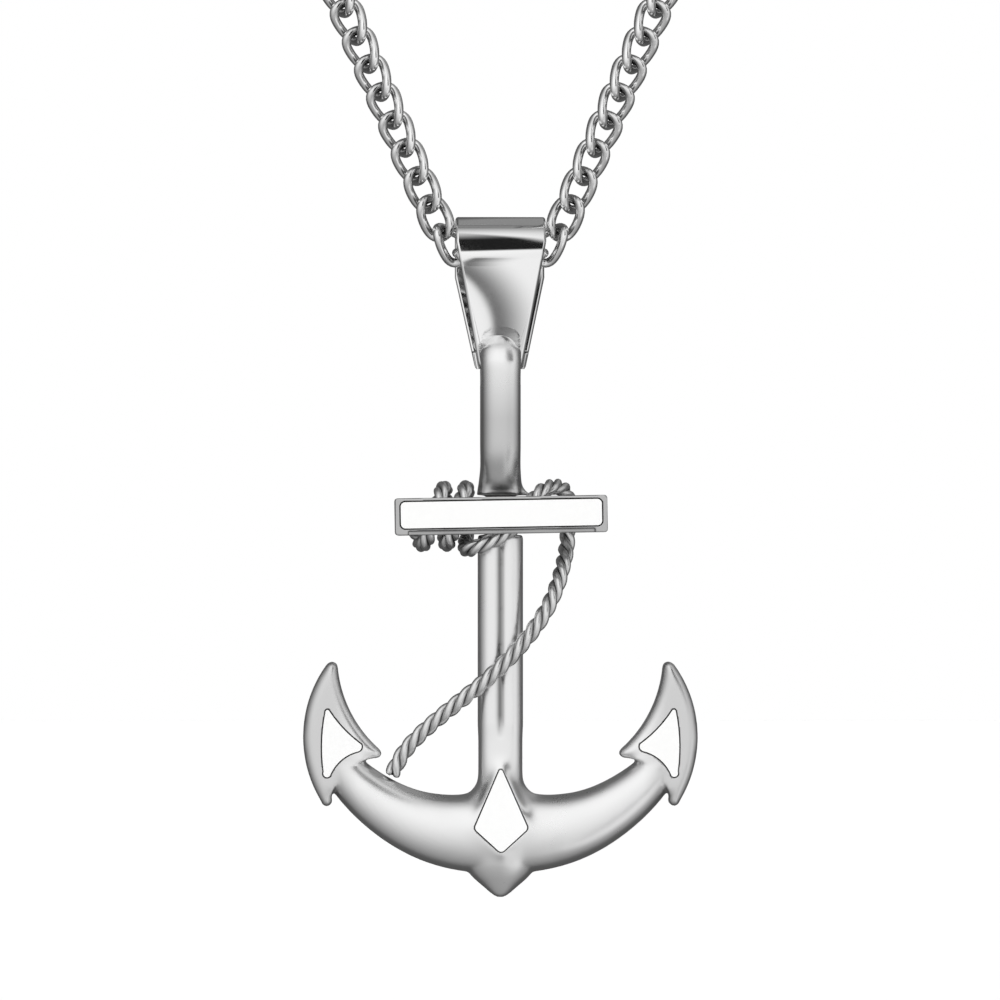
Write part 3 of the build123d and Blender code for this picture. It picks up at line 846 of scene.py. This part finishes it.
def casting(node):
    look, bed = castLooks[node], bedLook
    fillers = [grownInlay(inlay, bed["overFill"], bed["fillBehind"], 0.0) for inlay in look["inlays"]]
    blank = joined([nodeMesh(node)] + fillers)
    rough = withModifiers(blank, [("REMESH", {"mode": "VOXEL", "voxel_size": look["voxel"]})])
    steps = [("SMOOTH", {"factor": smoothFactor, "iterations": look["rounds"]})]
    groups = {}
    if look["softRounds"]:
        points = places(rough)
        pillowFlukes(points)
        roundEye(points)
        setPlaces(rough, points)
        groups["soft"] = softness(points)
        softSmooth = {"factor": smoothFactor, "iterations": look["softRounds"], "vertex_group": "soft"}
        steps.append(("SMOOTH", softSmooth))
    smooth = withModifiers(rough, steps, groups)
    if look["softRounds"]:
        points = places(smooth)
        cutFlute(points)
        keepEyeClear(points, node)
        setPlaces(smooth, points)
    cutters = [
        grownInlay(inlay, bed["groove"], bed["under"], bed["cutInFront"]) for inlay in look["inlays"]
    ]
    cutter = bpy.data.objects.new("bedCutter", joined(cutters))
    bpy.context.scene.collection.objects.link(cutter)
    carving = {"operation": "DIFFERENCE", "solver": "EXACT", "object": cutter}
    cut = withModifiers(smooth, [("BOOLEAN", carving)])
    bpy.data.objects.remove(cutter)
    if look["softRounds"]:
        shadeCasting(cut)
    return cut


anchorCasting = casting("anchor")
finishPiece(
    "anchor_casting", anchorCasting, "pendant", steels["anchorSteel"], ["anchor"],
)
stockBar = casting("stock")
finishPiece("stock_bar", stockBar, "pendant", steels["stockSteel"], ["stock"])
dressNodes(("crown_inlay", "fluke_inlay_left", "fluke_inlay_right", "stock_inlay"), enamel)
print("castings made")

# Rope: three strands laid left-handed along the CAD rope's route, in millimetres
ropeLook = {
    "strandRadius": 0.345,
    "strandOffset": 0.38,
    "lay": 4.1,
    "strands": 3,
    "step": 0.16,
    "curveSteps": 16,
    "around": 14,
    "thinnest": 0.002,
    # hollowAt, hollowFade and hollowShade set the painted shade in the hollows between the strands
    "hollowAt": 0.30,
    "hollowFade": 0.34,
    "hollowShade": 0.12,
    "sharpAngle": 80,
}

# The route's points from the stock's middle: to the side, to the back and up. Round the bar it runs
# this far behind or in front of it, and above or below it.
outside = 2.15
above = 2.435
ropeRoute = [
    (-7.6, outside, 0.0),
    (-7.2, outside, -above),
    (-6.5, -outside, -above),
    (-5.2, -outside, above),
    (-4.75, outside, above),
    (-4.9, outside, -above),
    (-4.55, -outside, -above),
    (-3.2, -outside, above),
    (-2.85, outside, above),
    (-3.0, outside, -above),
    (-3.1, -outside, -3.2),
    (1.2, -outside, -1.45),
    (3.4, -outside, above),
    (6.2, outside, above),
    (6.0, outside, -above),
    (5.6, 0.2, -4.3),
    (4.9, -1.1, -6.6),
    (3.7, -2.0, -9.0),
    (1.6, -2.3, -11.7),
    (-1.2, -2.3, -14.4),
    (-4.2, -1.6, -16.7),
    (-7.0, -0.7, -19.0),
    (-8.9, -0.2, -21.1),
    (-9.55, 0.0, -22.75),
]
stockDrop = 22.98
stockTilt = math.radians(1.0)


def ropeLine():
    # points along the route's smooth spline, evenly apart
    curve = bpy.data.curves.new("ropeRoute", "CURVE")
    curve.dimensions = "3D"
    spline = curve.splines.new("NURBS")
    spline.points.add(len(ropeRoute) - 1)
    for point, (x, back, rise) in zip(spline.points, ropeRoute):
        height = rise - stockDrop + x * math.tan(stockTilt)
        point.co = (x, back + rollY, height + rollZ, 1)
    spline.order_u = 3
    spline.use_endpoint_u = True
    spline.resolution_u = ropeLook["curveSteps"]
    holder = bpy.data.objects.new("ropeRoute", curve)
    line = places(bpy.data.meshes.new_from_object(holder))
    bpy.data.objects.remove(holder)
    run = np.concatenate([[0], np.cumsum(np.linalg.norm(np.diff(line, axis=0), axis=1))])
    evenly = np.linspace(0, run[-1], int(run[-1] / ropeLook["step"]))
    return np.stack([np.interp(evenly, run, line[:, i]) for i in range(3)], axis=1), evenly


def makeRope():
    line, run = ropeLine()
    normals, sides = carriedFrames(line)
    allPoints, allFaces, allShades = [], [], []
    around = ropeLook["around"]
    radius = ropeLook["strandRadius"]
    fromEnd = np.minimum(run, run[-1] - run)
    rounding = 1 - (1 - np.clip(fromEnd / radius, 0, 1)) ** 2
    radii = radius * np.sqrt(np.clip(rounding, ropeLook["thinnest"], 1))
    for strand in range(ropeLook["strands"]):
        angle = 2 * math.pi * (strand / ropeLook["strands"] - run / ropeLook["lay"])
        offset = np.cos(angle)[:, None] * normals + np.sin(angle)[:, None] * sides
        path = line + offset * ropeLook["strandOffset"]
        strandNormals, strandSides = carriedFrames(path)
        start = strand * len(path) * around
        skin = tubePoints(path, strandNormals, strandSides, radii, around)
        # painted shade in the hollows between the strands, darkest nearest the rope's middle
        fromMiddle = np.linalg.norm(skin - np.repeat(line, around, axis=0), axis=1)
        lightness = (fromMiddle - ropeLook["hollowAt"]) / ropeLook["hollowFade"]
        allShades.append(np.clip(lightness, ropeLook["hollowShade"], 1))
        allPoints.append(skin)
        for face in ringFaces(len(path), around, False):
            allFaces.append(tuple(start + corner for corner in face))
        allFaces.append(tuple(start + corner for corner in reversed(range(around))))
        allFaces.append(tuple(start + (len(path) - 1) * around + corner for corner in range(around)))
    mesh = emptyMesh("rope", np.concatenate(allPoints), allFaces)
    setShade(mesh, np.concatenate(allShades))
    work = bmesh.new()
    work.from_mesh(mesh)
    bmesh.ops.recalc_face_normals(work, faces=work.faces)
    work.to_mesh(mesh)
    work.free()
    print("rope route", round(run[-1], 1), "mm")
    finishPiece(
        "rope_strands", mesh, "pendant", steels["ropeSteel"], ["rope"],
        ropeLook["sharpAngle"],
    )


makeRope()
print("rope made")

# Floor and light
studio = {
    "floorDrop": 330.0,
    "floorHalf": 3000.0,
    "floorTone": 0.92,
    "floorRoughness": 0.9,
    "floorSpecular": 0.1,
    "diffuseLight": 1.12,
    "backTone": 0.10,
    "restTone": 0.30,
    "restFade": (80, 115),
}
# One wide soft window in front, brightest a little above level. Fades are in degrees.
window = {
    "tone": 1.12,
    "side": 6,
    "sideFade": (24, 104),
    "lowFade": (-95, 30),
    "highFade": (52, 94),
}
# What else the steel mirrors, laid over the window in this order. Each fades in and out sideways,
# and comes up and goes down again in height, over these degrees.
patches = {
    "table": {
        "tone": 1.0, "sideIn": (12, 20), "sideOut": (48, 70),
        "riseIn": (-64, -44), "riseOut": (-12, 8),
    },
    "gap": {  # a dark opening to the right, which the strap's roll mirrors as its black band
        "tone": 0.012, "sideIn": (22, 25), "sideOut": (44, 52),
        "riseIn": (9, 15), "riseOut": (40, 76),
    },
    "low": {  # a dark shape low in front: the strap's front panel mirrors its edge
        "tone": 0.15, "sideIn": (25.5, 27.5), "sideOut": (27, 38),
        "riseIn": (-48, -38), "riseOut": (-12, -2),
    },
}
# Two more over those, both towards the back. Back and right are a direction's shares that way, and
# rise is in degrees. The strap's roll mirrors the first near its top. The second is a narrow band.
rollTop = {"tone": 0.28, "rise": (18, 34), "back": (0.1, 0.3), "right": (0.1, 0.2)}
seam = {"tone": 0.3, "backIn": (0.06, 0.10), "backOut": (0.14, 0.18)}


def makeFloor():
    half, z = studio["floorHalf"], -studio["floorDrop"]
    corners = [(-half, -half, z), (half, -half, z), (half, half, z), (-half, half, z)]
    mesh = emptyMesh("floor", corners, [(0, 1, 2, 3)])
    mesh.transform(toMetres)
    material, _, _, shader = newMaterial("paleFloor")
    shader.inputs["Base Color"].default_value = (*[studio["floorTone"]] * 3, 1)
    shader.inputs["Roughness"].default_value = studio["floorRoughness"]
    shader.inputs["Specular IOR Level"].default_value = studio["floorSpecular"]
    mesh.materials.append(material)
    floor = bpy.data.objects.new("floor", mesh)
    bpy.context.scene.collection.objects.link(floor)
    floor.visible_glossy = False


def makeWorld():
    # white to the eye, even light on the enamel, and a soft-box studio for the steel to mirror
    world = bpy.data.worlds.new("studio")
    bpy.context.scene.world = world
    world.use_nodes = True
    nodes, links = world.node_tree.nodes, world.node_tree.links
    nodes.clear()

    calc = mathMaker(nodes, links)

    def step(value, span):
        # 0 below the span and 1 above it, softly
        node = nodes.new("ShaderNodeMapRange")
        node.interpolation_type = "SMOOTHSTEP"
        links.new(value, node.inputs["Value"])
        node.inputs["From Min"].default_value, node.inputs["From Max"].default_value = span
        return node.outputs[0]

    def fade(value, span):
        return calc("SUBTRACT", 1.0, step(value, span))

    def layer(under, tone, mask):
        # tone laid over what is under it
        over = calc("MULTIPLY", mask, tone)
        rest = calc("MULTIPLY", calc("SUBTRACT", 1.0, mask), under)
        return calc("ADD", over, rest)

    where = nodes.new("ShaderNodeTexCoord")
    split = nodes.new("ShaderNodeSeparateXYZ")
    links.new(where.outputs["Generated"], split.inputs[0])
    x, y, z = split.outputs
    toDegrees = 180 / math.pi
    azimuth = calc("MULTIPLY", calc("ARCTAN2", x, calc("MULTIPLY", y, -1.0)), toDegrees)
    rise = calc("MULTIPLY", calc("ARCSINE", z), toDegrees)
    front = fade(calc("ABSOLUTE", azimuth), studio["restFade"])
    tone = layer(studio["backTone"], studio["restTone"], front)
    glow = fade(calc("ABSOLUTE", calc("SUBTRACT", azimuth, window["side"])), window["sideFade"])
    upright = calc("MULTIPLY", step(rise, window["lowFade"]), fade(rise, window["highFade"]))
    tone = layer(tone, window["tone"], calc("MULTIPLY", glow, upright))
    for patch in patches.values():
        sideways = calc("MULTIPLY", step(azimuth, patch["sideIn"]), fade(azimuth, patch["sideOut"]))
        upright = calc("MULTIPLY", step(rise, patch["riseIn"]), fade(rise, patch["riseOut"]))
        tone = layer(tone, patch["tone"], calc("MULTIPLY", sideways, upright))
    corner = calc("MULTIPLY", step(y, rollTop["back"]), step(x, rollTop["right"]))
    tone = layer(tone, rollTop["tone"], calc("MULTIPLY", step(rise, rollTop["rise"]), corner))
    strip = calc("MULTIPLY", step(y, seam["backIn"]), fade(y, seam["backOut"]))
    tone = layer(tone, seam["tone"], strip)
    paths = nodes.new("ShaderNodeLightPath")
    tone = layer(studio["diffuseLight"], tone, paths.outputs["Is Glossy Ray"])
    tone = layer(tone, 1.0, paths.outputs["Is Camera Ray"])
    shade = nodes.new("ShaderNodeBackground")
    shade.inputs["Color"].default_value = (1, 1, 1, 1)
    output = nodes.new("ShaderNodeOutputWorld")
    links.new(tone, shade.inputs["Strength"])
    links.new(shade.outputs[0], output.inputs["Surface"])


makeFloor()
makeWorld()
print("studio made")
